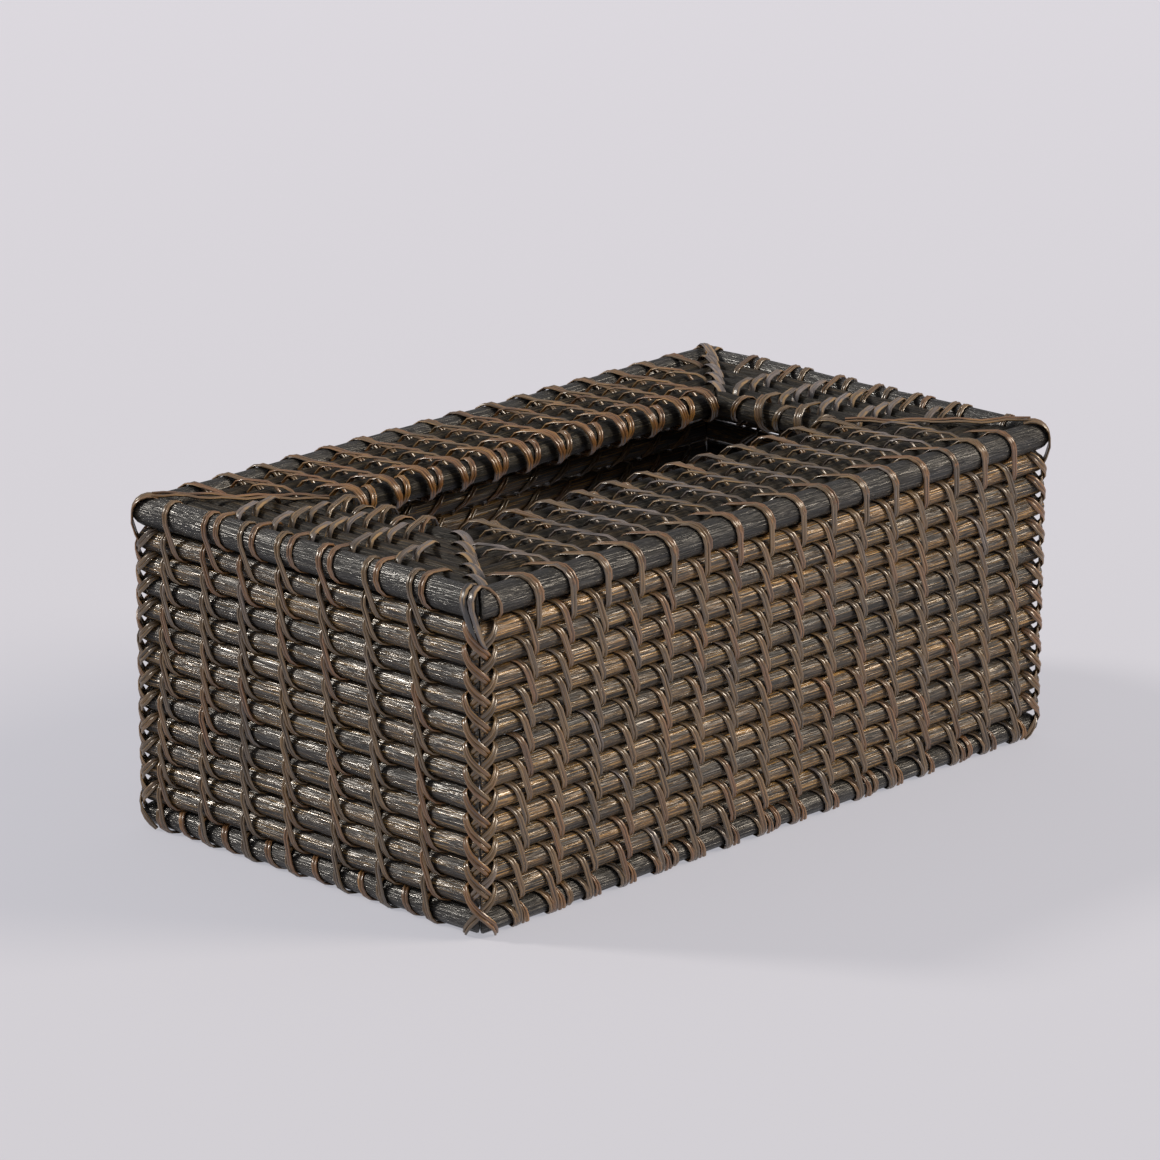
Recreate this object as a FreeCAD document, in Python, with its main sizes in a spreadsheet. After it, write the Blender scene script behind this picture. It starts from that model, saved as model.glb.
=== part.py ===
# A tissue box cover of lashed rattan. Straight canes are stacked into four walls and a mitred top with a
# slot, and strips of split cane tie them together. Millimetres, +Z up, origin at the middle of the foot.

import FreeCAD
import Part
import math
import os

from FreeCAD import Placement, Rotation, Vector

# Sizes that can be set by themselves. Diameters are of bare cane, before any strip goes round it.
DRIVING = {
    "cover_length": 258.4,      # over the top rims of the short walls
    "cover_width": 146.4,       # over the top rims of the long walls
    "rim_dia": 9.2,             # cane along the upper edges
    "base_dia": 7.2,            # cane along the foot
    "cane_dia": 6.6,            # cane in the walls and the top
    "opening_dia": 7.6,         # cane round the slot
    "cane_gap": 0.6,            # room between two canes, where the strips pass
    "mitre_gap": 0.3,           # room between two cane ends at a corner
    "wall_canes": 12,           # canes in a wall, between base rim and top rim
    "front_canes": 5,           # canes in the front strip of the top
    "side_canes": 4,            # canes in each other strip of the top
    "strip_thick": 0.8,         # split cane of the lashings
    "strip_clear": 0.05,        # room between a strip and the cane it goes round
    "lashing_width": 5.6,       # two turns of strip side by side
    "lashing_lean": 22,         # degrees from square to the cane
    "long_lashings": 16,        # columns on a long side
    "short_lashings": 7,        # columns on a short side
    "lashing_room": 1.5,        # between a braid and the nearest lashing
    "wrap_width": 2.8,          # one turn of strip, on the base rim and the opening rim
    "braid_width": 3.4,         # strip of the corner braids
    "braid_lean": 40,           # degrees from square to the cane
    "braid_offset": 4.5,        # from the corner to the middle of a braid's turn
    "foot_flat": 0.3,           # depth that the foot of the strips is worn flat
}

# Sizes that follow from them. z is a height above the floor, and an inset is taken from the outer face.
DERIVED = {
    "strip_reach": "=strip_clear + strip_thick",
    "pitch": "=cane_dia + cane_gap",
    "base_z": "=base_dia / 2 + strip_reach - foot_flat",
    "first_z": "=base_z + (base_dia + cane_dia) / 2 + cane_gap",
    "rim_z": "=first_z + (wall_canes - 1) * pitch + (cane_dia + rim_dia) / 2 + cane_gap",
    "wall_inset": "=rim_dia / 2",
    "first_inset": "=wall_inset + (rim_dia + cane_dia) / 2 + cane_gap",
    "opening_step": "=(cane_dia + opening_dia) / 2 + cane_gap",
    "front_inset": "=first_inset + (front_canes - 1) * pitch + opening_step",
    "side_inset": "=first_inset + (side_canes - 1) * pitch + opening_step",
}

doc = FreeCAD.newDocument("tissue_box_cover")
dims = doc.addObject("Spreadsheet::Sheet", "dims")
for line, (alias, content) in enumerate({**DRIVING, **DERIVED}.items(), start=1):
    dims.set(f"A{line}", alias)
    dims.set(f"B{line}", str(content))
    dims.setAlias(f"B{line}", alias)
doc.recompute()

# The four sides, in turn round the cover. Each is made with its canes along +X, its outer face on Y = 0 and
# its left end, seen from outside, at X = 0, and is then turned to its place.
SIDES = ("front", "right", "back", "left")
LENGTH = {"front": "cover_length", "right": "cover_width", "back": "cover_length", "left": "cover_width"}
INSET = {"front": "front_inset", "right": "side_inset", "back": "side_inset", "left": "side_inset"}
TOP_CANES = {"front": "front_canes", "right": "side_canes", "back": "side_canes", "left": "side_canes"}
LASHINGS = {side: f"{span}_lashings" for side, span in zip(SIDES, ("long", "short", "long", "short"))}
SIGNS = {"front": ("-", "-"), "right": ("", "-"), "back": ("", ""), "left": ("-", "")}
QUARTER_TURN = 90

nodes = []


def size(alias):
    """The value of one size."""
    return float(dims.get(alias))


def count(alias):
    """The value of one count."""
    return round(size(alias))


def bind(piece, sizes):
    """Ties properties of a piece to the sheet."""
    for name, formula in sizes.items():
        piece.setExpression(name, formula)


def neighbours(side):
    """The sides at the left and the right end of a side, seen from outside."""
    place = SIDES.index(side)
    return SIDES[place - 1], SIDES[(place + 1) % len(SIDES)]


def stand(piece, side):
    """Turns a finished piece to its side of the cover and keeps it as a node."""
    turn = QUARTER_TURN * SIDES.index(side)
    piece.Placement = Placement(Vector(), Rotation(Vector(0, 0, 1), turn))
    sign_x, sign_y = SIGNS[side]
    bind(piece, {
        "Placement.Base.x": f"{sign_x}dims.cover_length / 2",
        "Placement.Base.y": f"{sign_y}dims.cover_width / 2",
    })
    nodes.append(piece)


# Mitre blocks. Each is the room of one side in plan, from its outer face to past the slot.
mitres = {}
for side in SIDES:
    before, after = neighbours(side)
    depth = f"(dims.{INSET[side]} + dims.opening_dia)"
    far_end = f"dims.{LENGTH[side]} - dims.mitre_gap / 2"
    block = doc.addObject("Part::Wedge", f"{side}_mitre")
    bind(block, {
        "Xmin": "dims.mitre_gap / 2",
        "Xmax": far_end,
        "X2min": f"{depth} * dims.{INSET[before]} / dims.{INSET[side]} + dims.mitre_gap / 2",
        "X2max": f"{far_end} - {depth} * dims.{INSET[after]} / dims.{INSET[side]}",
        "Ymin": "0",
        "Ymax": depth,
        "Zmin": "0",
        "Z2min": "0",
        "Zmax": "dims.rim_z + dims.rim_dia",
        "Z2max": "dims.rim_z + dims.rim_dia",
    })
    mitres[side] = block


def cane(name, side, dia, inset, height):
    """One straight cane along a side, its ends cut to the mitres."""
    rod = doc.addObject("Part::Cylinder", f"{name}_rod")
    rod.Placement = Placement(Vector(), Rotation(Vector(0, 1, 0), QUARTER_TURN))
    bind(rod, {
        "Radius": f"dims.{dia} / 2",
        "Height": f"dims.{LENGTH[side]}",
        "Placement.Base.y": inset,
        "Placement.Base.z": height,
    })
    cut = doc.addObject("Part::Common", name)
    cut.Base = rod
    cut.Tool = mitres[side]
    return cut


# Canes of the walls and the top.
for side in SIDES:
    stand(cane(f"{side}_base_rim", side, "base_dia", "dims.wall_inset", "dims.base_z"), side)
    stand(cane(f"{side}_top_rim", side, "rim_dia", "dims.wall_inset", "dims.rim_z"), side)
    stand(cane(f"{side}_opening_rim", side, "opening_dia", f"dims.{INSET[side]}", "dims.rim_z"), side)
    for row in range(count(TOP_CANES[side])):
        inset = f"dims.first_inset + {row} * dims.pitch"
        stand(cane(f"{side}_top_cane_{row + 1}", side, "cane_dia", inset, "dims.rim_z"), side)
    wall = doc.addObject("Part::Compound", f"{side}_wall_canes")
    wall.Links = [
        cane(f"{side}_wall_cane_{row + 1}", side, "cane_dia", "dims.wall_inset",
             f"dims.first_z + {row} * dims.pitch")
        for row in range(count("wall_canes"))
    ]
    stand(wall, side)


# Strips of split cane. A crossing is one cane as a lashing meets it: its inset, its height, its radius and
# the way that the lashing travels there, inwards and upwards.
UPWARDS = (0, 1)
INWARDS = (1, 0)
OVER_RIM = (math.sqrt(1 / 2), math.sqrt(1 / 2))


def crossings(side):
    """The canes that a lashing crosses, from the base rim up the wall and in over the top."""
    inset, base_z, first_z, rim_z = size("wall_inset"), size("base_z"), size("first_z"), size("rim_z")
    pitch, cane_radius = size("pitch"), size("cane_dia") / 2
    rows = [(inset, base_z, size("base_dia") / 2, UPWARDS)]
    for row in range(count("wall_canes")):
        rows.append((inset, first_z + row * pitch, cane_radius, UPWARDS))
    rows.append((inset, rim_z, size("rim_dia") / 2, OVER_RIM))
    for row in range(count(TOP_CANES[side])):
        rows.append((size("first_inset") + row * pitch, rim_z, cane_radius, INWARDS))
    rows.append((size(INSET[side]), rim_z, size("opening_dia") / 2, INWARDS))
    return rows


def turn_of_strip(row, along, lean, width):
    """One turn of strip round a cane, in a plane that leans from square to the cane."""
    inset, height, radius, (inwards, upwards) = row
    outer = radius + size("strip_reach")
    centre = Vector(along, inset, height)
    reach = outer + width
    disc = Part.makeCylinder(outer, 2 * reach, centre - Vector(reach, 0, 0), Vector(1, 0, 0))
    slab = Part.makeBox(width, 2 * reach, 2 * reach, Vector(-width / 2, -reach, -reach))
    tilt = math.radians(lean)
    square = Vector(math.cos(tilt), math.sin(tilt) * inwards, math.sin(tilt) * upwards)
    slab.Placement = Placement(centre, Rotation(Vector(1, 0, 0), square))
    return disc.common(slab)


def clear_of_canes(strip, rows, others=()):
    """Cuts the canes out of a strip, what would stand below the floor, and any other blocks."""
    box = strip.BoundBox
    cuts = list(others)
    for inset, height, radius, travel in rows:
        beside = box.YMin < inset + radius and box.YMax > inset - radius
        level = box.ZMin < height + radius and box.ZMax > height - radius
        if beside and level:
            start = Vector(box.XMin - radius, inset, height)
            length = box.XLength + 2 * radius
            cuts.append(Part.makeCylinder(radius + size("strip_clear"), length, start, Vector(1, 0, 0)))
    if box.ZMin < 0:
        below = size("base_dia")
        floor = Part.makeBox(box.XLength + 2 * below, box.YLength + 2 * below, below)
        floor.translate(Vector(box.XMin - below, box.YMin - below, -below))
        cuts.append(floor)
    return strip.cut(cuts)


def half_span(row, lean, width):
    """How far a turn of strip reaches along its cane, to each side of its middle."""
    tilt = math.radians(lean)
    return width / 2 / math.cos(tilt) + (row[2] + size("strip_reach")) * math.tan(tilt)


def mitre_u(side, inset, at_start):
    """How far from the end of a side its mitre has come at an inset."""
    before, after = neighbours(side)
    return inset * size(INSET[before if at_start else after]) / size(INSET[side])


def mitre_turn_u(side, row, at_start):
    """How far from the end of a side the turn of a mitre braid goes round a cane, clear of the mitre."""
    innermost = row[0] + row[2] + size("strip_reach")
    return mitre_u(side, innermost, at_start) + size("mitre_gap") + size("braid_width") / 2


def is_crossed(side, row, along):
    """Whether a lashing at this place along a side goes round a cane, or the mitre braid has its end."""
    if row[3] != INWARDS:
        return True
    room = size("braid_width") / 2 + size("lashing_room")
    room += half_span(row, size("lashing_lean"), size("lashing_width"))
    from_end = size(LENGTH[side]) - along
    return along >= mitre_turn_u(side, row, True) + room and from_end >= mitre_turn_u(side, row, False) + room


def columns(side):
    """Places of the lashings along a side, the first and last beside the corner braids on the top rim."""
    rim = next(row for row in crossings(side) if row[3] == OVER_RIM)
    first = size("braid_offset") + half_span(rim, size("braid_lean"), size("braid_width"))
    first += size("lashing_room") + half_span(rim, size("lashing_lean"), size("lashing_width"))
    last = size(LENGTH[side]) - first
    number = count(LASHINGS[side])
    return [first + (last - first) * place / (number - 1) for place in range(number)]


def between(places, row):
    """The places half-way between turns on a cane, where there is room for a short wrap."""
    room = half_span(row, size("lashing_lean"), size("lashing_width")) + size("wrap_width") / 2
    pairs = zip(places, places[1:])
    return [(left + right) / 2 for left, right in pairs if (right - left) / 2 > room]


def strip_node(name, side, strips):
    """Keeps separate strips of one side as a node."""
    piece = doc.addObject("Part::Feature", name)
    piece.Shape = Part.makeCompound(strips)
    stand(piece, side)


# Lashings and the short wraps between them. Lashings that cross the same canes have the same shape.
patterns = {}


def lashing(rows, number):
    """A lashing round the first canes of a side, made by adding a turn to the next shorter one."""
    pattern = (len(rows), number)
    if pattern not in patterns:
        wall = [row for row in rows if row[3] != INWARDS]
        added = wall if number == len(wall) else [rows[number - 1]]
        turns = [turn_of_strip(row, 0, size("lashing_lean"), size("lashing_width")) for row in added]
        turns = [clear_of_canes(turn, rows) for turn in turns]
        if added != wall:
            turns.insert(0, lashing(rows, number - 1))
        patterns[pattern] = turns[0].fuse(turns[1:])
    return patterns[pattern]


for side in SIDES:
    rows = crossings(side)
    lashings = []
    for along in columns(side):
        number = sum(is_crossed(side, row, along) for row in rows)
        lashings.append(lashing(rows, number).translated(Vector(along, 0, 0)))
    strip_node(f"{side}_lashings", side, lashings)

    slot = [mitre_turn_u(side, rows[-1], True)]
    slot += [along for along in columns(side) if is_crossed(side, rows[-1], along)]
    slot.append(size(LENGTH[side]) - mitre_turn_u(side, rows[-1], False))
    for edge, row, places in (("base", rows[0], columns(side)), ("opening", rows[-1], slot)):
        single = clear_of_canes(turn_of_strip(row, 0, 0, size("wrap_width")), rows)
        wraps = [single.translated(Vector(along, 0, 0)) for along in between(places, row)]
        strip_node(f"{side}_{edge}_wraps", side, wraps)


def mitre_cut(side, at_start):
    """A block beyond the mitre at one end of a side."""
    span = size("rim_z")
    inset = size(INSET[side])
    sideways = mitre_u(side, inset, at_start)
    outward = Vector(-inset, sideways, 0) if at_start else Vector(inset, sideways, 0)
    outward.normalize()
    upright = Vector(0, 0, 1)
    block = Part.makeBox(span, 2 * span, 2 * span, Vector(0, -span, -span / 2))
    end = Vector() if at_start else Vector(size(LENGTH[side]), 0, 0)
    block.Placement = Placement(end, Rotation(outward, upright.cross(outward), upright))
    return block


def side_frame(side):
    """Where a side stands on the cover."""
    signs = [-1 if sign else 1 for sign in SIGNS[side]]
    corner = Vector(signs[0] * size("cover_length") / 2, signs[1] * size("cover_width") / 2, 0)
    return Placement(corner, Rotation(Vector(0, 0, 1), QUARTER_TURN * SIDES.index(side)))


def corner_turns(side, at_start):
    """The turns of a corner braid on one side, one round each cane of the wall, cut at the corner."""
    offset = size("braid_offset")
    along = offset if at_start else size(LENGTH[side]) - offset
    lean = -size("braid_lean") if at_start else size("braid_lean")
    rows = crossings(side)
    beyond = mitre_cut(side, at_start)
    turns = []
    for inset, height, radius, travel in rows:
        if travel == INWARDS:
            continue
        turn = turn_of_strip((inset, height, radius, UPWARDS), along, lean, size("braid_width"))
        turn = clear_of_canes(turn, rows, [beyond])
        turns.append(turn.transformed(side_frame(side).toMatrix()))
    return turns


def mitre_turns(side, at_start):
    """The turns of a mitre braid on one side, one round each cane of the top, beside the mitre."""
    rows = crossings(side)
    turns = []
    for row in rows:
        if row[3] != INWARDS:
            continue
        offset = mitre_turn_u(side, row, at_start)
        along = offset if at_start else size(LENGTH[side]) - offset
        turn = clear_of_canes(turn_of_strip(row, along, 0, size("braid_width")), rows)
        turns.append(turn.transformed(side_frame(side).toMatrix()))
    return turns


# Braids. A corner braid has one strip for each course, round both walls. A mitre braid has a turn on each
# cane end of the two strips of the top.
CORNERS = {"front_left": "front", "front_right": "right", "back_right": "back", "back_left": "left"}
for corner, side in CORNERS.items():
    before = neighbours(side)[0]
    pairs = zip(corner_turns(before, False), corner_turns(side, True))
    braid = doc.addObject("Part::Feature", f"corner_braid_{corner}")
    braid.Shape = Part.makeCompound([left.fuse(right) for left, right in pairs])
    mitre = doc.addObject("Part::Feature", f"mitre_braid_{corner}")
    mitre.Shape = Part.makeCompound(mitre_turns(before, False) + mitre_turns(side, True))
    nodes += [braid, mitre]

doc.recompute()

# Nothing is written unless every object and every solid is sound.
for piece in doc.Objects:
    if "Invalid" in piece.State or "Error" in piece.State:
        raise RuntimeError(f"{piece.Name} failed to build")
for node in nodes:
    if node.Shape.isNull() or not node.Shape.isValid() or not node.Shape.Solids:
        raise RuntimeError(f"{node.Name} has no sound solid")
    node.Label = node.Name

os.makedirs("parts", exist_ok=True)
for node in nodes:
    node.Shape.exportStep(f"parts/{node.Label}.step")
    print(f"{node.Label}: {len(node.Shape.Solids)} solids")
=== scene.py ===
import math
import random

import bpy
import numpy as np
from mathutils import Matrix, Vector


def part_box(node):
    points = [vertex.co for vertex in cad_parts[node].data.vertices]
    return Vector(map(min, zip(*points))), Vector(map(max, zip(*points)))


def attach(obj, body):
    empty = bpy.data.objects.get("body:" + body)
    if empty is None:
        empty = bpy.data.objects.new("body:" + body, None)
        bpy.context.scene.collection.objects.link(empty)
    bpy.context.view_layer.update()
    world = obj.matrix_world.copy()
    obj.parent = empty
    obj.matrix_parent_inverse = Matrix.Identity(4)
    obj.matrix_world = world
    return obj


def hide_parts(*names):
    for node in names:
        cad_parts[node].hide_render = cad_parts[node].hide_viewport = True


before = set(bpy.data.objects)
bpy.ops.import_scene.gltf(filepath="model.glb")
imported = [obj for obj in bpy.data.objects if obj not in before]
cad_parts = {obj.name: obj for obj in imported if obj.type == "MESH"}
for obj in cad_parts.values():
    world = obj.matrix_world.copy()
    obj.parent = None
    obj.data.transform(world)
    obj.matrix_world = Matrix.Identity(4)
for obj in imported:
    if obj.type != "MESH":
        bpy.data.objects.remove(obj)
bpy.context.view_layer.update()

# Base rims. A straight length of rattan, stained black, lies along the foot of each wall and carries it. Its
# ends are cut to the corner's mitre and rounded off, and the corner plaits and lashings tie it down.
MM = 0.001
SIDES = ("front", "right", "back", "left")
UP = np.array((0.0, 0.0, 1.0))
ALONG = dict(zip(SIDES, np.array(((1, 0, 0), (0, 1, 0), (-1, 0, 0), (0, -1, 0)), float)))
INWARD = {side: np.cross(UP, ALONG[side]) for side in SIDES}
CANE_SIDES = 18
CANE_RINGS = 42
TIP_STEPS = np.array((0, 0.3, 1.0))
TIP_SHARES = np.array((0.72, 0.93, 1.0))
BOW = 0.18 * MM
BOW_WAVES = (1.2, 1.7)
SWELL_SHARE = 0.02
SWELL_WAVES = 2.3
SMOOTH_ANGLE = math.radians(75)
FIBRE_RANGE = 5
RIM_ROOM = 0.3 * MM
RIM_ROUNDING = 1.1 * MM
BASE_RIM_TONES = (0.3, 0.6)
chance = random.Random(472)
rods = {}
low_corner = np.minimum(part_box("left_top_rim")[0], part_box("front_top_rim")[0]) * (1, 1, 0)
high_corner = np.maximum(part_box("right_top_rim")[1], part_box("back_top_rim")[1]) * (1, 1, 0)
START = {}
SPAN = {}
for side in SIDES:
    START[side] = np.where(ALONG[side] + INWARD[side] > 0, low_corner, high_corner) * (1, 1, 0)
    SPAN[side] = abs(np.dot(high_corner - low_corner, ALONG[side]))


def cane_row(side, node):
    """Inset from the side's outer face, height and radius of a straight cane, from its box in the frame."""
    low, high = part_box(node)
    middle = np.array((low + high) / 2)
    return np.dot(middle - START[side], INWARD[side]), middle[2], (high.z - low.z) / 2


OPENING = {side: cane_row(side, f"{side}_opening_rim")[0] for side in SIDES}


def mitre_slopes(side):
    """How fast a mitre runs in from the left and the right end of a side, per unit of inset."""
    turn = SIDES.index(side)
    before, after = SIDES[turn - 1], SIDES[(turn + 1) % len(SIDES)]
    return OPENING[before] / OPENING[side], OPENING[after] / OPENING[side]


def straight_rod(sides, rings):
    """A straight rod of unit size, modelled once for each count of sides and rings, to be bent."""
    if (sides, rings) not in rods:
        bpy.ops.object.select_all(action="DESELECT")
        bpy.ops.mesh.primitive_cylinder_add(vertices=sides, radius=1, depth=1)
        rod = bpy.context.object
        bpy.context.tool_settings.mesh_select_mode = (False, True, False)
        bpy.ops.object.mode_set(mode="EDIT")
        bpy.ops.mesh.select_all(action="DESELECT")
        bpy.ops.object.mode_set(mode="OBJECT")
        for edge in rod.data.edges:
            ends = [rod.data.vertices[number].co.z for number in edge.vertices]
            edge.select = ends[0] * ends[1] < 0
        bpy.ops.object.mode_set(mode="EDIT")
        bpy.ops.mesh.subdivide(number_cuts=rings - 2)
        bpy.ops.object.mode_set(mode="OBJECT")
        corners = np.array([vertex.co for vertex in rod.data.vertices])
        faces = [list(face.vertices) for face in rod.data.polygons]
        ring = np.rint((corners[:, 2] + 0.5) * (rings - 1)).astype(int)
        rods[sides, rings] = ring, corners[:, 0], corners[:, 1], faces
        bpy.data.meshes.remove(rod.data)
    return rods[sides, rings]


def bend(sides, middles, across, outward, tones):
    """A rod bent so that each ring sits at its place, with its half width, half thickness and tone."""
    ring, thick, wide, faces = straight_rod(sides, len(middles))
    corners = middles[ring] + across[ring] * wide[:, None] + outward[ring] * thick[:, None]
    corners[:, 2] = np.maximum(corners[:, 2], 0)
    steps = np.linalg.norm(np.diff(middles, axis=0), axis=1)
    lengths = np.concatenate(((0,), np.cumsum(steps)))
    half_width = np.linalg.norm(across, axis=1)
    half_thick = np.linalg.norm(outward, axis=1)
    fibre = np.stack((lengths[ring], wide * half_width[ring], thick * half_thick[ring]), axis=1)
    fibre[:, 0] += FIBRE_RANGE * chance.random()
    return corners, faces, fibre, np.broadcast_to(tones, len(middles))[ring]


def join(name, strips, finish, nodes):
    """Joins bent rods into one piece that stands for nodes of the frame."""
    corners = []
    faces = []
    count = 0
    for strip_corners, strip_faces, fibre, tones in strips:
        corners.append(strip_corners)
        faces += [[number + count for number in face] for face in strip_faces]
        count += len(strip_corners)
    mesh = bpy.data.meshes.new(name)
    mesh.from_pydata(np.concatenate(corners).tolist(), [], faces)
    fibres = mesh.attributes.new("fibre", "FLOAT_VECTOR", "POINT")
    fibres.data.foreach_set("vector", np.concatenate([strip[2] for strip in strips]).ravel())
    tones = mesh.attributes.new("tone", "FLOAT", "POINT")
    tones.data.foreach_set("value", np.concatenate([strip[3] for strip in strips]))
    piece = bpy.data.objects.new(name, mesh)
    bpy.context.scene.collection.objects.link(piece)
    bpy.ops.object.select_all(action="DESELECT")
    bpy.context.view_layer.objects.active = piece
    piece.select_set(True)
    bpy.ops.object.mode_set(mode="EDIT")
    bpy.ops.mesh.select_all(action="SELECT")
    bpy.ops.mesh.normals_make_consistent(inside=False)
    bpy.ops.object.mode_set(mode="OBJECT")
    bpy.ops.object.shade_smooth_by_angle(angle=SMOOTH_ANGLE)
    mesh.materials.append(finish)
    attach(piece, "root")
    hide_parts(*nodes)


def cane(side, row, room, rounding, tone):
    """One cane, slightly bowed and uneven in thickness, kept short of the mitres, with rounded ends."""
    inset, height, radius = row
    left, right = mitre_slopes(side)
    begin = left * inset + room
    end = SPAN[side] - right * inset - room
    tips = rounding * TIP_STEPS
    inner = np.linspace(begin + 2 * rounding, end - 2 * rounding, CANE_RINGS - 2 * len(tips))
    along = np.concatenate((begin + tips, inner, end - tips[::-1]))
    share = (along - begin) / (end - begin)
    swell = radius * (1 + SWELL_SHARE * np.sin(math.tau * (SWELL_WAVES * share + chance.random())))
    swell[:len(tips)] *= TIP_SHARES
    swell[-len(tips):] *= TIP_SHARES[::-1]
    bows = [BOW * np.sin(math.tau * (waves * share + chance.random())) for waves in BOW_WAVES]
    middles = START[side] + np.outer(along, ALONG[side])
    middles = middles + np.outer(inset + bows[0], INWARD[side]) + np.outer(height + bows[1], UP)
    slant = left * (1 - share) - right * share
    across = np.outer(swell, INWARD[side]) + np.outer(swell * slant, ALONG[side])
    return bend(CANE_SIDES, middles, across, np.outer(swell, UP), tone)


def linear(hex_colour):
    """An sRGB hex colour as linear red, green, blue and alpha."""
    shares = [int(hex_colour[place:place + 2], 16) / 255 for place in (1, 3, 5)]
    lights = [share / 12.92 if share <= 0.04045 else ((share + 0.055) / 1.055) ** 2.4 for share in shares]
    return lights + [1]


def add(finish, kind, links=None, stops=None, **settings):
    """Adds a node to a material, with its settings, the values or links of its sockets, any colour stops."""
    made = finish.node_tree.nodes.new(kind)
    for name, value in settings.items():
        setattr(made, name, value)
    for socket, value in (links or {}).items():
        if isinstance(value, bpy.types.NodeSocket):
            finish.node_tree.links.new(value, made.inputs[socket])
        else:
            made.inputs[socket].default_value = value
    if stops:
        elements = made.color_ramp.elements
        while len(elements) < len(stops):
            elements.new(1)
        for element, (position, hex_colour) in zip(elements, stops):
            element.position = position
            element.color = linear(hex_colour)
    return made


def fibre_layers(finish, sizes):
    """Noise drawn out along the fibres, one layer for each length and width in millimetres."""
    fibre = add(finish, "ShaderNodeAttribute", attribute_name="fibre")
    layers = []
    for length, width in sizes:
        stretch = add(finish, "ShaderNodeMapping", {
            "Vector": fibre.outputs["Vector"],
            "Scale": (1 / (length * MM), 1 / (width * MM), 1 / (width * MM)),
        })
        noise = add(finish, "ShaderNodeTexNoise", {
            "Vector": stretch.outputs["Vector"], "Scale": 1, "Detail": 2,
        })
        layers.append(noise.outputs["Fac"])
    return layers


def weighted(finish, parts):
    """The sum of some values, each times its weight."""
    total = 0
    for value, weight in parts:
        made = add(finish, "ShaderNodeMath", {0: value, 1: weight, 2: total}, operation="MULTIPLY_ADD")
        total = made.outputs[0]
    return total


def cane_finish(name, stops, tints, pore_colour, rough, gloss):
    """Stained rattan core: light and dark lines along its vessels, open pores and a thin lacquer.

    Single fibres are too fine to show, so the lines are drawn as wide as bundles of them, 0.27 to 0.5 mm.
    The lacquer is smoother on the light lines: rough is its least and most roughness, gloss its reflection.
    """
    finish = bpy.data.materials.new(name)
    finish.use_nodes = True
    shader = finish.node_tree.nodes["Principled BSDF"]
    link = finish.node_tree.links.new
    grain, fine, pores, bands = fibre_layers(finish, ((110, 0.5), (50, 0.27), (9, 0.26), (70, 3.0)))
    tone = add(finish, "ShaderNodeAttribute", attribute_name="tone").outputs["Fac"]
    grain, fine, pores = [
        add(finish, "ShaderNodeMapRange", {"Value": layer, "From Min": least, "From Max": 0.6}).outputs[0]
        for layer, least in ((grain, 0.41), (fine, 0.41), (pores, 0.53))
    ]
    level = weighted(finish, ((tone, 0.2), (bands, 0.36), (grain, 0.36), (fine, 0.28)))
    colours = add(finish, "ShaderNodeValToRGB", {"Fac": level}, stops)
    drift = weighted(finish, ((tone, 0.8), (bands, 0.6), (1.0, -0.2)))
    tint = add(finish, "ShaderNodeValToRGB", {"Fac": drift}, tints)
    tinted = add(finish, "ShaderNodeMix", {
        0: 1.0, 6: colours.outputs["Color"], 7: tint.outputs["Color"],
    }, data_type="RGBA", blend_type="MULTIPLY")
    pitted = add(finish, "ShaderNodeMix", {
        0: pores, 6: tinted.outputs[2], 7: linear(pore_colour),
    }, data_type="RGBA")
    link(pitted.outputs[2], shader.inputs["Base Color"])
    relief = weighted(finish, ((grain, 1.0), (fine, 0.6), (pores, -0.8)))
    bump = add(finish, "ShaderNodeBump", {"Height": relief, "Strength": 1.0, "Distance": 0.08 * MM})
    link(bump.outputs["Normal"], shader.inputs["Normal"])
    satin = add(finish, "ShaderNodeMapRange", {
        "Value": relief, "From Min": -0.4, "From Max": 1.3, "To Min": rough[1], "To Max": rough[0],
    })
    link(satin.outputs["Result"], shader.inputs["Roughness"])
    shader.inputs["Specular IOR Level"].default_value = gloss
    return finish


# Rattan core, sanded and stained black: nearly neutral, with grey lines where the stain wore off.
black_stain = cane_finish(
    "black_stained_rattan",
    [(0.3, "#070606"), (0.52, "#191816"), (0.75, "#363430"), (1.0, "#747067")],
    [(0.0, "#d3d6d2"), (0.5, "#f0eee8"), (1.0, "#f4e8d8")], "#090808", (0.16, 0.7), 0.6)
for side in SIDES:
    row = cane_row(side, f"{side}_base_rim")
    rim = cane(side, row, RIM_ROOM, RIM_ROUNDING, chance.uniform(*BASE_RIM_TONES))
    join(f"{side}_base_rim_rattan", [rim], black_stain, [f"{side}_base_rim"])

# Wall canes. Twelve thinner canes, stained brown, are stacked on each base rim. They nearly touch, so that
# only specks of light come through, and each took the stain in its own shade. The uppermost cane of a long
# wall took the least. The canes of the short walls are drawn darker and greyer than those of the long
# walls: painted shade over the same stain.
LONG_SIDES = ("front", "back")
WALL_CANES = 12
WALL_FULLNESS = 1.035
WALL_ROOM = 0.15 * MM
WALL_ROUNDING = 0.7 * MM
LONG_WALL_TONES = (0.3, 1.0)
# Lower tones for the short walls, darker and greyer: painted shade.
SHORT_WALL_SHADED_TONES = (0.0, 0.6)
FIRST_CANE_GLOW = 0.6
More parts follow.
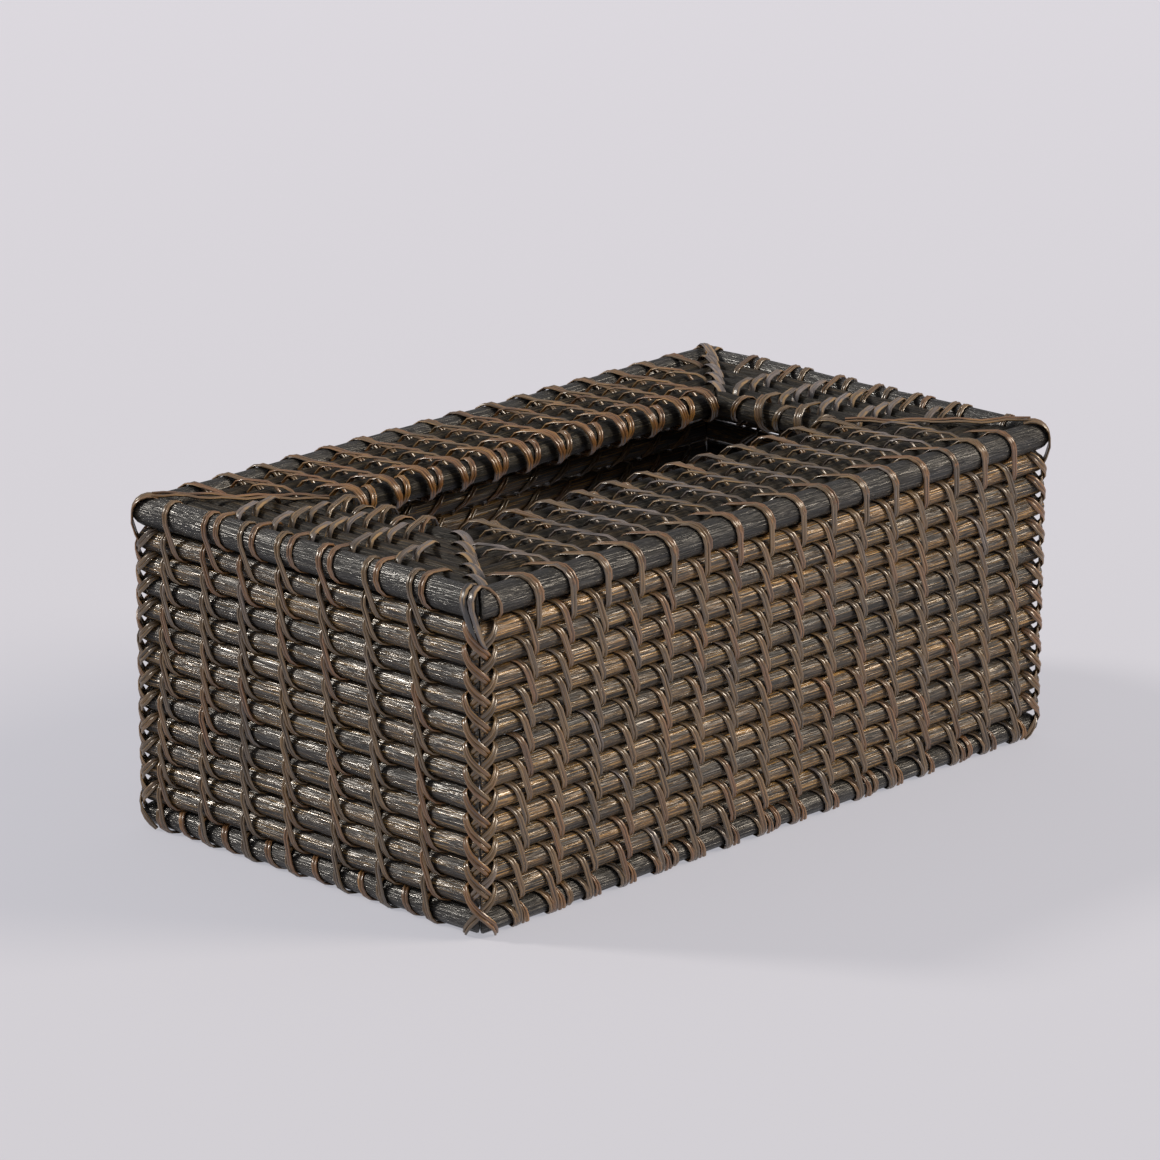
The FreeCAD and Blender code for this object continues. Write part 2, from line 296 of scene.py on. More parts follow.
# Rattan core, sanded and stained brown: tan and golden lines on a dark ground, which glint like silver.
brown_stain = cane_finish(
    "brown_stained_rattan",
    [(0.3, "#080605"), (0.5, "#2e261c"), (0.7, "#6b5a42"), (0.95, "#c0a473")],
    [(0.0, "#aaa794"), (0.3, "#cfc9b8"), (0.65, "#e8dcc8"), (1.0, "#ecd6b8")], "#120d09", (0.16, 0.7), 0.8)
walls = {}
for side in SIDES:
    low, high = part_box(f"{side}_wall_canes")
    inset = cane_row(side, f"{side}_top_rim")[0]
    radius = cane_row(side, f"{side}_top_cane_1")[2]
    heights = np.linspace(high.z - radius, low.z + radius, WALL_CANES)
    walls[side] = [(inset, height, radius * WALL_FULLNESS) for height in heights]
    tones = LONG_WALL_TONES if side in LONG_SIDES else SHORT_WALL_SHADED_TONES
    shades = [chance.uniform(*tones) for row in walls[side]]
    if side in LONG_SIDES:
        shades[0] += FIRST_CANE_GLOW
    canes = [cane(side, row, WALL_ROOM, WALL_ROUNDING, shade) for row, shade in zip(walls[side], shades)]
    join(f"{side}_wall_canes_rattan", canes, brown_stain, [f"{side}_wall_canes"])

# Top rims. A thick cane, stained black like the base rims, lies along the upper edge of each wall.
# The lashings turn over it from the top to the wall.
TOP_RIM_TONES = (0.2, 0.5)
for side in SIDES:
    row = cane_row(side, f"{side}_top_rim")
    rim = cane(side, row, RIM_ROOM, RIM_ROUNDING, chance.uniform(*TOP_RIM_TONES))
    join(f"{side}_top_rim_rattan", [rim], black_stain, [f"{side}_top_rim"])

# Top canes. Each strip of the top is a row of canes, cut to the mitres and lashed side by side. They are
# stained darker than the walls.
TOP_FULLNESS = 1.08
JOINT_ROOM = 0.08 * MM
JOINT_ROUNDING = 0.7 * MM
# Rattan core, stained a dark brown and left matt: its lines hardly show under the paler strips.
dark_stain = cane_finish(
    "dark_stained_rattan",
    [(0.25, "#090806"), (0.5, "#1b1812"), (0.75, "#332d22"), (1.0, "#5c523d")],
    [(0.0, "#bfc3b8"), (0.5, "#ece6d8"), (1.0, "#f3dcc0")], "#0b0907", (0.42, 0.62), 0.25)
rows = {}
for side in SIDES:
    count = sum(node.startswith(f"{side}_top_cane_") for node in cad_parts)
    tops = [cane_row(side, f"{side}_top_cane_{number + 1}") for number in range(count)]
    for number, (inset, height, radius) in enumerate(tops):
        row = inset, height, radius * TOP_FULLNESS
        node = f"{side}_top_cane_{number + 1}"
        join(f"{node}_rattan", [cane(side, row, JOINT_ROOM, JOINT_ROUNDING, chance.random())],
             dark_stain, [node])
    rows[side] = tops[::-1]

# Opening rims. A cane on each side, stained dark like the top canes, frames the slot that the tissues come
# out of. Their mitred ends meet at its corners.
OPENING_RIM_TONES = (0.2, 0.5)
for side in SIDES:
    row = cane_row(side, f"{side}_opening_rim")
    rim = cane(side, row, JOINT_ROOM, JOINT_ROUNDING, chance.uniform(*OPENING_RIM_TONES))
    join(f"{side}_opening_rim_rattan", [rim], dark_stain, [f"{side}_opening_rim"])

# Lashings. Strips of split rattan tie the canes of a side from the slot to the foot, one wide strand on the
# top and two narrow ones side by side elsewhere. Each stitch comes out of a gap, slants over two canes,
# dives, and goes back behind one.
STRAND_SIDES = 6
STRAND_WIDTH = 1.18 * MM
STRAND_THICK = 0.8 * MM
STRAND_LIFT = 0.36 * MM
STRAND_TAPER = 0.3
STRAND_WIDTH_SHARES = (0.8, 1.2)
STRAND_THICK_SHARES = (0.85, 1.1)
STRAND_RAISE = 0.15 * MM
TONE_SPREAD = 0.08
STITCH_REACH = 4.4 * MM
STITCH_WANDER = 0.4 * MM
TOP_BULGE = 1.8 * MM
RIM_BULGE = 0.1 * MM
WALL_BULGE = 0.4 * MM
STITCH_EASE = 1.6
LONG_RIM_SHIFT = 0.6 * MM
SHORT_RIM_SHIFT = 1.8 * MM
LONG_TOP_WIDTH = 1.45 * MM
SHORT_TOP_WIDTH = 2.6 * MM
SHORT_WALL_WIDTH = 1.05 * MM
SHADED_TIPS = 2
STITCH_DRIFT = 0.12
BACK_TUCK = 40
TIP_SINK = np.array((0.7, 1.6)) * MM
DIVE = 2.2 * MM
HALF_DIVE = DIVE / 2
BEND_STEP = 30
LONG_COLUMNS = 16
LONG_TOP_MARGIN = 22 * MM
LONG_FOOT_MARGINS = np.array((14, 14.4)) * MM
SHORT_TOPS = np.array((17.75, 34.6, 50, 65.9, 82.75, 101.5, 120)) * MM
SHORT_FEET = np.array((12.75, 31.5, 50.25, 69, 90, 107.75, 126.5)) * MM
MITRE_MARGIN = 3 * MM


def strand_finish(name, stops, edge_colour, rough):
    """Split rattan: the hard skin of the vine in fine lines, paler in places where its edges were cut.

    The ridges of the skin are too fine to show, so the lines are drawn 0.32 mm wide.
    """
    finish = bpy.data.materials.new(name)
    finish.use_nodes = True
    shader = finish.node_tree.nodes["Principled BSDF"]
    link = finish.node_tree.links.new
    lines, bands = fibre_layers(finish, ((30, 0.32), (7, 1.5)))
    fibre = add(finish, "ShaderNodeAttribute", attribute_name="fibre")
    tone = add(finish, "ShaderNodeAttribute", attribute_name="tone").outputs["Fac"]
    lines = add(finish, "ShaderNodeMapRange", {"Value": lines, "From Min": 0.4, "From Max": 0.6}).outputs[0]
    level = weighted(finish, ((tone, 1.0), (bands, 0.4), (1.0, -0.2)))
    colours = add(finish, "ShaderNodeValToRGB", {"Fac": level}, stops)
    shade = add(finish, "ShaderNodeMapRange", {"Value": lines, "To Min": 0.42, "To Max": 1.25})
    lined = add(finish, "ShaderNodeMix", {
        0: 1.0, 6: colours.outputs["Color"], 7: shade.outputs["Result"],
    }, data_type="RGBA", blend_type="MULTIPLY")
    parts = add(finish, "ShaderNodeSeparateXYZ", {"Vector": fibre.outputs["Vector"]})
    side = add(finish, "ShaderNodeMath", {0: parts.outputs["Y"]}, operation="ABSOLUTE")
    edge = add(finish, "ShaderNodeMapRange", {
        "Value": side.outputs[0], "From Min": 0.4 * MM, "From Max": 0.58 * MM,
    })
    patch = add(finish, "ShaderNodeMapRange", {
        "Value": bands, "From Min": 0.48, "From Max": 0.6, "To Max": 0.6,
    })
    edge = add(finish, "ShaderNodeMath", {0: edge.outputs["Result"], 1: patch.outputs["Result"]},
               operation="MULTIPLY")
    pale = add(finish, "ShaderNodeMix", {
        0: edge.outputs[0], 6: lined.outputs[2], 7: linear(edge_colour),
    }, data_type="RGBA")
    link(pale.outputs[2], shader.inputs["Base Color"])
    bump = add(finish, "ShaderNodeBump", {"Height": lines, "Strength": 1.0, "Distance": 0.022 * MM})
    link(bump.outputs["Normal"], shader.inputs["Normal"])
    satin = add(finish, "ShaderNodeMapRange", {
        "Value": bands, "From Min": 0.3, "From Max": 0.7, "To Min": rough[0], "To Max": rough[1],
    })
    link(satin.outputs["Result"], shader.inputs["Roughness"])
    shader.inputs["Specular IOR Level"].default_value = 1.0
    return finish


# Split rattan with its skin on, dyed: a satin shine, from black through mauve grey and tan to gold. The
# black also serves as painted shade on the hidden tips and returns of the top.
split_cane = strand_finish(
    "split_rattan",
    [(0.0, "#181513"), (0.14, "#786f6c"), (0.32, "#5e4d37"), (0.55, "#725b3b"), (0.78, "#7a5534"),
     (1.0, "#8e6734")],
    "#b08d58", (0.2, 0.36))
BLACK_AND_SHADE, MAUVE, GREY, TAN, COPPER, GOLD = -0.03, 0.14, 0.32, 0.55, 0.78, 1.0

for side in SIDES:
    opening = cane_row(side, f"{side}_opening_rim")
    rim = cane_row(side, f"{side}_top_rim")
    base = cane_row(side, f"{side}_base_rim")
    rows[side] = [opening] + rows[side] + [rim] + walls[side] + [base]
RIM = {side: len(rows[side]) - WALL_CANES - 2 for side in SIDES}


def over(canes, start, end):
    """Stations of a strip laid over neighbouring canes: insets, heights and angles that turn outwards."""
    angles = [start]
    for near, far in zip(canes, canes[1:]):
        apart = math.hypot(far[0] - near[0], far[1] - near[1])
        heading = math.degrees(math.atan2(far[1] - near[1], far[0] - near[0]))
        tangent = heading - 90 - math.degrees(math.asin((far[2] - near[2]) / apart))
        angles.append(tangent if tangent > start else tangent + 360)
    angles.append(end)
    stations = []
    for (inset, height, radius), first, last in zip(canes, angles, angles[1:]):
        steps = max(1, round((last - first) / BEND_STEP))
        for angle in np.radians(np.linspace(first, last, steps + 1)):
            reach = radius + STRAND_LIFT
            stations.append((inset + reach * math.cos(angle), height + reach * math.sin(angle), angle))
    return np.array(stations)


def dive(stations, depth):
    """Adds a station at each end, in the gap that the strip comes out of or goes into."""
    first, last = stations[0], stations[-1]
    entry = (first[0] + depth * math.sin(first[2]), first[1] - depth * math.cos(first[2]), first[2])
    leave = (last[0] - depth * math.sin(last[2]), last[1] + depth * math.cos(last[2]), last[2])
    return np.vstack((entry, stations, leave))


def laid(spots, outward, width, tones, number=2, taper=None):
    """Strands side by side along a line of spots, which face outwards and are narrower at their ends."""
    forward = np.gradient(spots, axis=0)
    across = np.cross(forward, outward)
    across /= np.linalg.norm(across, axis=1)[:, None]
    facing = np.cross(across, forward)
    facing /= np.linalg.norm(facing, axis=1)[:, None]
    if taper is None:
        taper = 1 - STRAND_TAPER * np.linspace(-1, 1, len(spots)) ** 4
    parts = np.array([chance.uniform(*STRAND_WIDTH_SHARES) for strand in range(number)])
    edges = np.concatenate(((0,), np.cumsum(parts / parts.sum()))) - 0.5
    total = number * width * taper
    made = []
    for near, far in zip(edges, edges[1:]):
        thick = STRAND_THICK * chance.uniform(*STRAND_THICK_SHARES)
        raised = facing * chance.uniform(0, STRAND_RAISE)
        middles = spots + across * (total * (near + far) / 2)[:, None] + raised
        made.append(bend(STRAND_SIDES, middles, across * (total * (far - near) / 2)[:, None],
                         facing * thick / 2, tones + chance.uniform(-TONE_SPREAD, TONE_SPREAD)))
    return made


def strands(side, stations, begin, end, tones, bulge=0, number=2, taper=None, ease=1, width=STRAND_WIDTH):
    """The strands of one strip from one place along a side to another, bulging between its ends.

    With an ease over 1 it moves along the side late, and with one under 1 early.
    """
    steps = np.linalg.norm(np.diff(stations[:, :2], axis=0), axis=1)
    share = np.minimum(1, np.concatenate(((0,), np.cumsum(steps))) / steps.sum())
    swing = bulge * np.sin(math.pi * share)
    outward = np.outer(np.cos(stations[:, 2]), INWARD[side]) + np.outer(np.sin(stations[:, 2]), UP)
    moved = share ** ease if ease >= 1 else 1 - (1 - share) ** (1 / ease)
    spots = START[side] + np.outer(begin + (end - begin) * moved, ALONG[side])
    spots = spots + np.outer(stations[:, 0], INWARD[side]) + np.outer(stations[:, 1], UP)
    return laid(spots + outward * swing[:, None], outward, width, tones, number, taper)


def column_places(side):
    """Where the lashings of a side cross its top rim and reach the floor: they fan out downwards."""
    if side not in LONG_SIDES:
        return list(zip(SHORT_TOPS, SHORT_FEET))
    tops = np.linspace(LONG_TOP_MARGIN, SPAN[side] - LONG_TOP_MARGIN, LONG_COLUMNS)
    feet = np.linspace(LONG_FOOT_MARGINS[0], SPAN[side] - LONG_FOOT_MARGINS[1], LONG_COLUMNS)
    return list(zip(tops, feet))


def stitch_tone(side, number):
    """The tone of a stitch by its place: golden at the slot's back, grey on most of the top, else brown."""
    if number <= 0:
        return chance.uniform(TAN + 0.1, GOLD) if side == "back" else chance.uniform(GREY, TAN + 0.1)
    if number < RIM[side] - 1:
        return chance.uniform(TAN, COPPER) if side == "back" else chance.uniform(MAUVE + 0.02, GREY)
    if number == RIM[side] - 1:
        return chance.uniform(TAN, COPPER)
    return chance.uniform(GREY, COPPER - 0.04)


for side in SIDES:
    chain = rows[side]
    rim = RIM[side]
    slopes = mitre_slopes(side)
    long = side in LONG_SIDES
    wall_ease = 1 / STITCH_EASE if long else STITCH_EASE
    rim_shift = LONG_RIM_SHIFT if long else SHORT_RIM_SHIFT
    top_width = LONG_TOP_WIDTH if long else SHORT_TOP_WIDTH
    wall_width = STRAND_WIDTH if long else SHORT_WALL_WIDTH
    strips = []
    for top, foot in column_places(side):
        places = top + (foot - top) * (1 - np.minimum(1, [row[1] / chain[rim][1] for row in chain]))
        edges = [inset + radius for inset, height, radius in chain[:rim]]
        room = [min(top - slopes[0] * edge, SPAN[side] - top - slopes[1] * edge) for edge in edges]
        first = [space > MITRE_MARGIN for space in room + [math.inf]].index(True)
        # A column that reaches the slot begins with a half stitch, over the opening rim alone.
        for number in range(first or -1, len(chain)):
            covered = [chain[place] for place in (number, number + 1) if first <= place < len(chain)]
            starts = -90 if number <= 0 else 0 if number <= rim else 90
            ends = 180 if number + 1 < rim else 270 if number + 1 < len(chain) - 1 else 360
            stations = dive(over(covered, starts, ends), DIVE)
            shift = rim_shift if number == rim - 1 else 0
            begin = places[max(number, 0)] - STITCH_REACH + shift
            begin += chance.uniform(-STITCH_WANDER, STITCH_WANDER)
            end = places[min(number + 1, len(chain) - 1)] + STITCH_REACH + shift
            end += chance.uniform(-STITCH_WANDER, STITCH_WANDER)
            bulge = TOP_BULGE if number < rim - 1 else RIM_BULGE if number <= rim else WALL_BULGE
            ease = 1 if number < rim else wall_ease
            single = 0 < number < rim - 1
            width = top_width if single else wall_width
            tones = stitch_tone(side, number) + np.linspace(-STITCH_DRIFT, STITCH_DRIFT, len(stations))
            # On the top, the last stations of each stitch, where it dives under the next arc, are coloured
            # black: painted shade. The tips also sink into the cane.
            if number < rim - 1:
                tones[-SHADED_TIPS:] = BLACK_AND_SHADE
                stations[-2:, 0] -= TIP_SINK * np.cos(stations[-2:, 2])
                stations[-2:, 1] -= TIP_SINK * np.sin(stations[-2:, 2])
            strips += strands(side, stations, begin, end, tones, bulge, 1 if single else 2,
                              ease=ease, width=width)
        # The strands that go back behind a cane. On the top they are coloured black: painted shade in the
        # gaps under the arcs.
        for number in range(max(1, first), len(chain) - 1):
            before = 0 if number <= rim else 90
            after = 180 if number < rim else 270
            stations = over([chain[number]], after + BACK_TUCK, before + 360 - BACK_TUCK)
            strips += strands(side, stations, places[number] + STITCH_REACH, places[number] - STITCH_REACH,
                              BLACK_AND_SHADE if number < rim else stitch_tone(side, number))
    join(f"{side}_lashing_strands", strips, split_cane, [f"{side}_lashings"])

# Wraps of the base rim. On the short walls a strip goes once round the rim between two lashings. On the
# long walls the lashings end in short cut tails, which splay over the rim, with a wrap at every third.
WRAP_TURN = (60, 420)
WRAP_EVERY = 3
LONG_WRAP_LEAN = 2.75 * MM
LONG_WRAP_SHARE = 0.62
SHORT_WRAP_LEAN = 5.5 * MM
SHORT_WRAP_SHARE = 0.5
WRAP_TONES = (TAN, COPPER + 0.1)
TAIL_TURN = (110, 235)
TAIL_BEGIN = 0.7 * STITCH_REACH
TAIL_SPLAY = 0.4 * MM
TAIL_TAPER = (0.4, 1.15)
TAIL_LEAN = 3.4 * MM
TAIL_TONES = (COPPER - 0.1, GOLD)


def cut_tail(side, base, begin):
    """The cut end of a lashing: a short wedge that widens down the face of the base rim."""
    stations = over([base], *TAIL_TURN)
    stations[-1, :2] += np.array((math.cos(stations[-1, 2]), math.sin(stations[-1, 2]))) * TAIL_SPLAY
    return strands(side, stations, begin, begin + TAIL_LEAN, chance.uniform(*TAIL_TONES),
                   taper=np.linspace(*TAIL_TAPER, len(stations)))


for side in SIDES:
    base = rows[side][-1]
    feet = [foot for top, foot in column_places(side)]
    long = side in LONG_SIDES
    lean = LONG_WRAP_LEAN if long else SHORT_WRAP_LEAN
    share = LONG_WRAP_SHARE if long else SHORT_WRAP_SHARE
    strips = []
    for number, (near, far) in enumerate(zip(feet, feet[1:] + [None])):
        if long:
            strips += cut_tail(side, base, near + TAIL_BEGIN)
        if far and (not long or number % WRAP_EVERY == 1):
            middle = near + (far - near) * share
            strips += strands(side, over([base], *WRAP_TURN), middle - lean, middle + lean,
                              chance.uniform(*WRAP_TONES))
    join(f"{side}_base_wrap_strands", strips, split_cane, [f"{side}_base_wraps"])

# Wraps of the opening rim. Between two lashings a strip goes once over the rim of the slot, into the gap
# beside it, so that the edge where the tissues come out is bound closely.
OPENING_LEAN = 2.6 * MM
for side in SIDES:
    opening = rows[side][0]
    edges = [slope * (opening[0] + opening[2]) + MITRE_MARGIN for slope in mitre_slopes(side)]
    tops = [top for top, foot in column_places(side)]
    strips = []
    for near, far in zip(tops, tops[1:]):
        middle = (near + far) / 2
        if edges[0] < middle < SPAN[side] - edges[1]:
            stations = dive(over([opening], -90, 180), HALF_DIVE)
            strips += strands(side, stations, middle + OPENING_LEAN, middle - OPENING_LEAN,
                              stitch_tone(side, 0))
    join(f"{side}_opening_wrap_strands", strips, split_cane, [f"{side}_opening_wraps"])

# Corner plaits. Along each upright edge, strips from both walls are plaited into a column of chevrons. Each
# comes out of a gap, slants down round the corner over and under the others, and dives into the other wall.
CORNER_NAMES = ("front_right", "back_right", "back_left", "front_left")
CORNERS = dict(zip(CORNER_NAMES, zip(SIDES, SIDES[1:] + SIDES[:1])))
CORNER_RADIUS = 4.0 * MM
PLAIT_BEGIN = -6.0 * MM
PLAIT_END = 3.4 * MM
PLAIT_LAST_END = 5.8 * MM
PLAIT_DROP = 11.4 * MM
PLAIT_WIDTH = 1.25 * MM
PLAIT_WANDER = 0.3 * MM
FOOT_GAP = 0.6 * MM
PLAIT_STEPS = np.array((0, 0.05, 0.14, 0.27, 0.39, 0.52, 0.64, 0.77, 0.89, 1.0))
OVER_LIFTS = np.array((-2.4, -0.3, 0.45, 0.9, 1.25, 1.35, 1.25, 0.85, 0.4, -0.9)) * MM
UNDER_LIFTS = np.array((-2.4, -0.3, 0.45, 0.95, 1.2, 0.8, 0.3, 0.25, 0.2, -0.9)) * MM
OVER_LAST_LIFTS = np.array((-2.4, -0.3, 0.45, 0.9, 1.3, 1.5, 1.5, 1.3, 0.7, -0.4)) * MM
UNDER_LAST_LIFTS = np.array((-2.4, -0.3, 0.45, 0.9, 0.9, 0.5, 0.5, 0.5, 0.3, -0.6)) * MM


def round_corner(before, after, offset, height, lift):
    """Places round an upright corner and the way out from them, by the distance from its middle."""
    face = walls[after][0][0] - walls[after][0][2]
    turn = np.clip(offset / CORNER_RADIUS, -math.pi / 4, math.pi / 4)
    beyond = offset - turn * CORNER_RADIUS
    outward = -np.outer(np.cos(turn + math.pi / 4), INWARD[before])
    outward = outward - np.outer(np.sin(turn + math.pi / 4), INWARD[after])
    spots = START[after] + (face + CORNER_RADIUS) * (INWARD[before] + INWARD[after])
    spots = spots + outward * (CORNER_RADIUS + lift)[:, None] + np.outer(height, UP)
    spots = spots - np.outer(np.minimum(beyond, 0), INWARD[after])
    return spots + np.outer(np.maximum(beyond, 0), INWARD[before]), outward


for corner, (before, after) in CORNERS.items():
    stack = rows[after][RIM[after]:-1]
    strips = []
    for upper, lower in zip(stack, stack[1:]):
        gap = (upper[1] - upper[2] + lower[1] + lower[2]) / 2
        last = lower is stack[-1]
        height = gap - (gap - FOOT_GAP if last else PLAIT_DROP) * PLAIT_STEPS
        offset = PLAIT_BEGIN + ((PLAIT_LAST_END if last else PLAIT_END) - PLAIT_BEGIN) * PLAIT_STEPS
        pair = (OVER_LAST_LIFTS, UNDER_LAST_LIFTS) if last else (OVER_LIFTS, UNDER_LIFTS)
        for way, lifts in zip((1, -1), pair):
            wander = chance.uniform(-PLAIT_WANDER, PLAIT_WANDER)
            spots, outward = round_corner(before, after, way * offset + wander, height, lifts)
            tone = chance.uniform(TAN, COPPER) if way > 0 else chance.uniform(GREY, TAN)
            strips += laid(spots, outward, PLAIT_WIDTH, tone)
    join(f"corner_plait_{corner}", strips, split_cane, [f"corner_braid_{corner}"])

# Mitre plaits. Two mitres of the top are covered by stem stitches, each over the end of the last. Along the
# other two a pair of long strips is laid from the slot to the corner. Straps tie all four down there.
STEMMED_MITRES = ("front_left", "back_right")
STEM_BEGIN = -3.0 * MM
STEM_LENGTH = 15.5 * MM
STEM_STEP = 11.0 * MM
STEM_ROOM = 1.1 * STEM_LENGTH
STEM_ACROSS = 2.7 * MM
STEM_WANDER = 0.3 * MM
STEM_WIDTH = 2.8 * MM
STEM_TONES = (MAUVE - 0.02, MAUVE + 0.08)
STEM_LIFTS = np.array((-1.6, 0.4, 1.3, 1.8, 1.95, 1.8, 1.2, 0.0, -2.2)) * MM
RISE_BEGIN = 14.0 * MM
RISE_END = 8.0 * MM
HOOK_TURN = (20, 270)
HOOK_REACH = (3.4 * MM, 10.8 * MM)
STEM_STRAP_TURN = (30, 215)
STEM_STRAP_WIDTH = 2.52 * MM
STEM_STRAPS = ((-10.5 * MM, -2.6 * MM, BLACK_AND_SHADE), (-7.2 * MM, 0.2 * MM, MAUVE - 0.03))
PAIR_STEPS = 16
PAIR_ROOM = 7.0 * MM
PAIR_SPREAD = 1.6 * MM
PAIR_WAVE = 0.7 * MM
PAIR_WAVES = 2
PAIR_LIFT = 0.9 * MM
PAIR_RIPPLE = 0.3 * MM
PAIR_RIPPLES = 4
PAIR_CLIMB = 1.3 * MM
PAIR_WIDTH = 1.4 * MM
STRAP_TURNS = np.radians(np.linspace(120, 0, 7))
STRAP_REACH = 5.4 * MM
STRAP_TAIL = np.array(((5.5, -3.0), (4.5, -6.5), (3.0, -9.8))) * MM
STRAP_SPREAD = 1.33 * MM
STRAP_WIDTH = 1.26 * MM
STRAP_TONES = (TAN, TAN + 0.1)


def mitre_line(before, after):
    """The slot's corner, the way out along the mitre, the way across to the side after, and the length."""
    inner = OPENING[before] * INWARD[before] + OPENING[after] * INWARD[after]
    length = np.linalg.norm(inner)
    out = -inner / length
    return START[after] + inner, out, np.cross(UP, out), length


for corner, (before, after) in CORNERS.items():
    slot_corner, out, over_mitre, length = mitre_line(before, after)
    rim = rows[after][RIM[after]]
    rim_inset, rim_height, rim_radius = rim
    top_radius = rows[after][1][2]
    crown = rim_height + top_radius
    strips = []
    if corner in STEMMED_MITRES:
        share = np.linspace(0, 1, len(STEM_LIFTS))
        for begin in np.arange(STEM_BEGIN, length - STEM_ROOM, STEM_STEP):
            ahead = begin + STEM_LENGTH * share
            offset = STEM_ACROSS * (2 * share - 1) + chance.uniform(-STEM_WANDER, STEM_WANDER)
            rise = np.interp(ahead, (length - RISE_BEGIN, length - RISE_END), (0, rim_radius - top_radius))
            spots = slot_corner + np.outer(ahead, out) + np.outer(offset, over_mitre)
            spots = spots + np.outer(crown + rise + STEM_LIFTS, UP)
            tone = chance.uniform(*STEM_TONES)
            strips += laid(spots, np.tile(UP, (len(spots), 1)), STEM_WIDTH, tone, 1)
        hook = dive(over([rim], *HOOK_TURN), HALF_DIVE)
        strips += strands(after, hook, *HOOK_REACH, chance.uniform(TAN, COPPER), RIM_BULGE, 1)
        path = dive(over([rows[before][RIM[before]], walls[before][0]], *STEM_STRAP_TURN), HALF_DIVE)
        for begin, end, tone in STEM_STRAPS:
            strips += strands(before, path, SPAN[before] + begin, SPAN[before] + end, tone, RIM_BULGE, 1,
                              width=STEM_STRAP_WIDTH)
    else:
        share = np.linspace(0, 1, PAIR_STEPS)
        for way in (-1, 1):
            wave = way * PAIR_SPREAD + PAIR_WAVE * np.sin(math.tau * (PAIR_WAVES * share + chance.random()))
            rise = PAIR_LIFT + PAIR_RIPPLE * np.sin(math.tau * (PAIR_RIPPLES * share + chance.random()))
            spots = slot_corner + np.outer(share * (length - PAIR_ROOM), out) + np.outer(wave, over_mitre)
            spots = spots + np.outer(crown + rise + share ** 3 * PAIR_CLIMB, UP)
            tone = chance.uniform(TAN, COPPER)
            strips += laid(spots, np.tile(UP, (len(spots), 1)), PAIR_WIDTH, tone, 1)
        away = -(INWARD[before] + INWARD[after]) / math.sqrt(2)
        reach = np.concatenate((STRAP_REACH * np.cos(STRAP_TURNS), STRAP_TAIL[:, 0]))
        rise = np.concatenate(((rim_radius + STRAND_LIFT) * np.sin(STRAP_TURNS), STRAP_TAIL[:, 1]))
        turn = np.concatenate((STRAP_TURNS, np.zeros(len(STRAP_TAIL))))
        outward = np.outer(np.cos(turn), away) + np.outer(np.sin(turn), UP)
        centre = START[after] + rim_inset * (INWARD[before] + INWARD[after]) + rim_height * UP
        for way, tone in zip((-1, 1), STRAP_TONES):
            spots = centre + np.outer(reach, away) + np.outer(rise, UP) + way * STRAP_SPREAD * over_mitre
            strips += laid(spots, outward, STRAP_WIDTH, tone)
    join(f"mitre_plait_{corner}", strips, split_cane, [f"mitre_braid_{corner}"])

# Floor. A plain sheet of pale paper. Its colour is drawn a little paler towards the back, which is painted
# light on an even sheet. The camera sees part of its colour unshaded, so that the soft shadow stays as faint
# as under a large studio light.
PAPER_NEAR = "#c9c9d0"
PAPER_FAR = "#dad9e2"
PAPER_LIGHT_FADE = 4.4
PAPER_MIDDLE = 0.4
UNSHADED_SHARE = 0.62
FLOOR_SIZE = 14
paper = bpy.data.materials.new("pale_paper")
paper.use_nodes = True
sheet = paper.node_tree.nodes["Principled BSDF"]
place = add(paper, "ShaderNodeTexCoord").outputs["Object"]
parts = add(paper, "ShaderNodeSeparateXYZ", {"Vector": place})
# Paler towards the back: painted light.
slopes = [(parts.outputs[axis], 1 / PAPER_LIGHT_FADE) for axis in ("X", "Y")]
depth = weighted(paper, slopes + [(1.0, PAPER_MIDDLE)])
tint = add(paper, "ShaderNodeValToRGB", {"Fac": depth}, [(0, PAPER_NEAR), (1, PAPER_FAR)]).outputs["Color"]
paper.node_tree.links.new(tint, sheet.inputs["Base Color"])
sheet.inputs["Roughness"].default_value = 0.9
sheet.inputs["Specular IOR Level"].default_value = 0.1
ray = add(paper, "ShaderNodeLightPath").outputs
rays = ("Is Camera Ray", "Is Glossy Ray", "Is Transmission Ray")
seen = weighted(paper, [(ray[kind], UNSHADED_SHARE) for kind in rays])
unshaded = add(paper, "ShaderNodeEmission", {"Color": tint})
mixed = add(paper, "ShaderNodeMixShader", {0: seen, 1: sheet.outputs[0], 2: unshaded.outputs[0]})
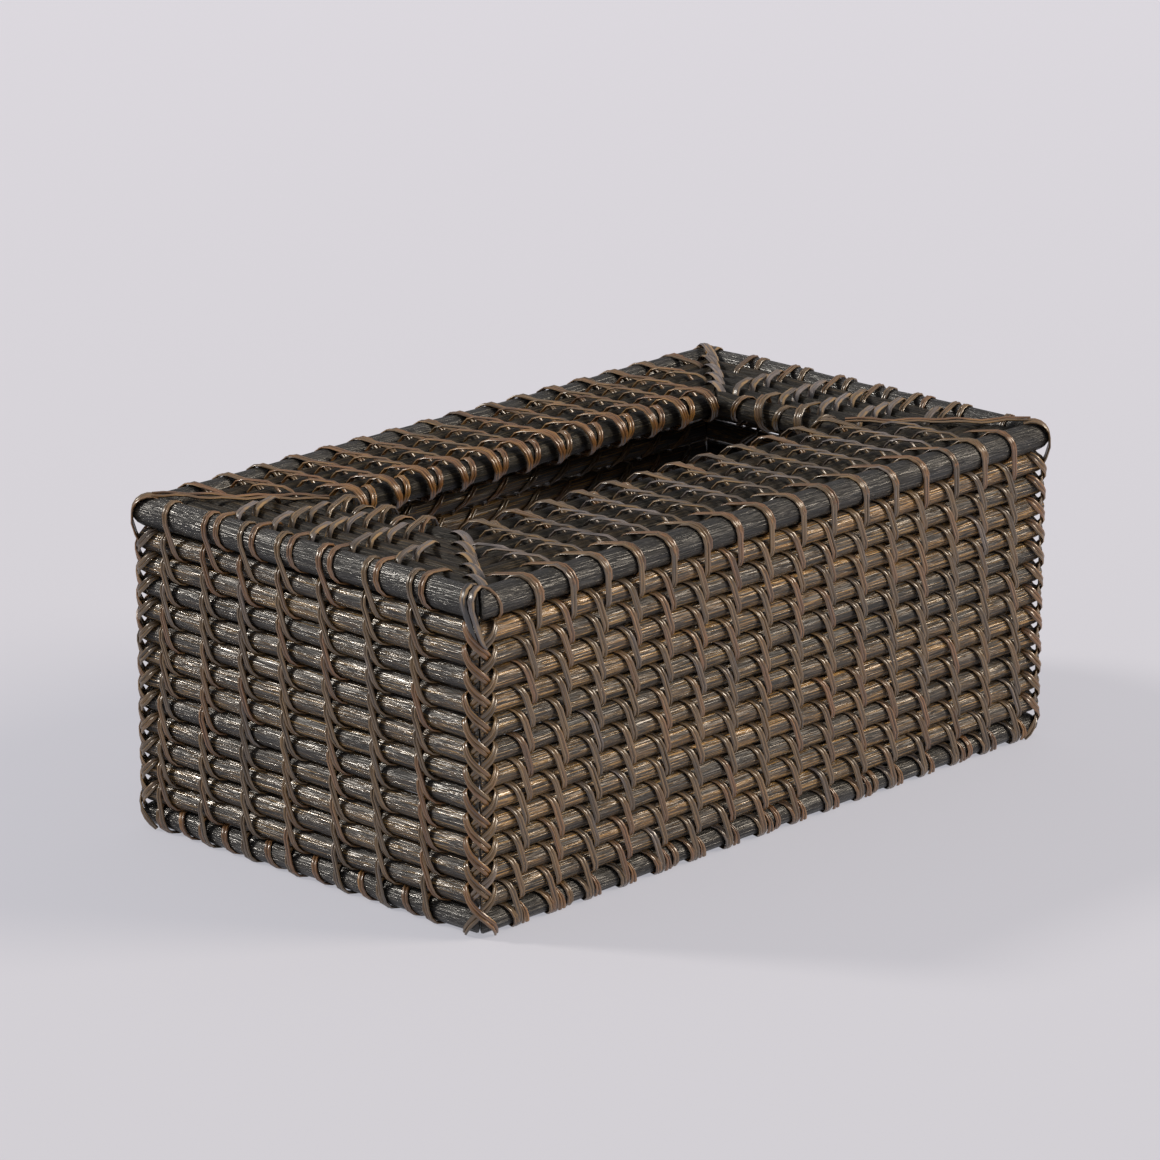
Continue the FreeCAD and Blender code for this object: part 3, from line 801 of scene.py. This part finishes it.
paper.node_tree.links.new(mixed.outputs[0], paper.node_tree.nodes["Material Output"].inputs["Surface"])
bpy.ops.object.select_all(action="DESELECT")
bpy.ops.mesh.primitive_plane_add(size=FLOOR_SIZE)
floor = bpy.context.object
floor.name = "floor"
floor.data.materials.append(paper)

# Light. A window light from behind on the left glances along the left wall. A lower and warmer one from the
# right lights the front wall and the inside of the slot. A weak one from above and an even sky fill in.
SKY_COLOUR = "#eeecf2"
SKY_STRENGTH = 0.34
world = bpy.data.worlds.new("studio")
world.use_nodes = True
bpy.context.scene.world = world
sky = world.node_tree.nodes["Background"]
sky.inputs["Color"].default_value = linear(SKY_COLOUR)
sky.inputs["Strength"].default_value = SKY_STRENGTH


def lamp(name, colour, strength, width, azimuth, elevation):
    """A distant soft light from an azimuth, counted from +X towards +Y, and an elevation, in degrees."""
    bpy.ops.object.light_add(type="SUN")
    light = bpy.context.object
    light.name = name
    light.data.color = linear(colour)[:3]
    light.data.energy = strength
    light.data.angle = math.radians(width)
    light.rotation_euler = (0, math.radians(90 - elevation), math.radians(azimuth))


lamp("window_light", "#fff7ec", 1.95, 10, 122, 36)
lamp("right_light", "#fff0dc", 2.6, 24, -47, 28)
lamp("ceiling_light", "#ffffff", 0.3, 90, 40, 80)

# Camera. It looks down on the corner between the left wall and the front wall, through a long lens.
AZIMUTH = math.radians(-46.94)
ELEVATION = math.radians(16.82)
ROLL = math.radians(0.19)
LENS = 165.9
SENSOR_WIDTH = 36
CAMERA_PLACE = (-1157.99 * MM, -1072.79 * MM, 542.16 * MM)
bpy.ops.object.camera_add(location=CAMERA_PLACE)
camera = bpy.context.object
turned = Matrix.Rotation(AZIMUTH, 3, "Z") @ Matrix.Rotation(math.pi / 2 - ELEVATION, 3, "X")
camera.rotation_euler = (turned @ Matrix.Rotation(ROLL, 3, "Z")).to_euler()
camera.data.lens = LENS
camera.data.sensor_width = SENSOR_WIDTH
bpy.context.scene.camera = camera
bpy.context.scene.view_settings.view_transform = "Standard"
